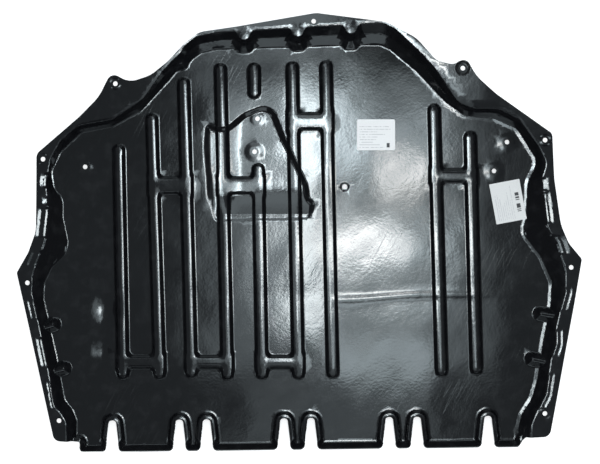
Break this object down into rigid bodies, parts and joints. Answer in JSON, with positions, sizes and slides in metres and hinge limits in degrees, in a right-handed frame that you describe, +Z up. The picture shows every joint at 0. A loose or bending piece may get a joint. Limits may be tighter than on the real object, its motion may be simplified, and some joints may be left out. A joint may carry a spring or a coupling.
{
  "type": "engine splash shield",
  "caption": "One-piece moulded plastic undertray with long ribs, a raised rim with fixing holes, a sump recess and a notched rear edge.",
  "frame": {"origin": "centre of the shield's plan, on the ground that it lies on", "axes": "+X towards the right-hand side seen from above, +Y towards the front edge, +Z up out of the tray"},
  "size_m": [0.9502, 0.7364, 0.0495],
  "materials": {
    "black_plastic": "glossy black moulded sheet",
    "front_sticker_paper": "coated white label",
    "side_sticker_paper": "coated white label"
  },
  "bodies": {
    "root": {"shield": "black_plastic", "front_sticker": "front_sticker_paper", "side_sticker": "side_sticker_paper"}
  },
  "joints": []
}
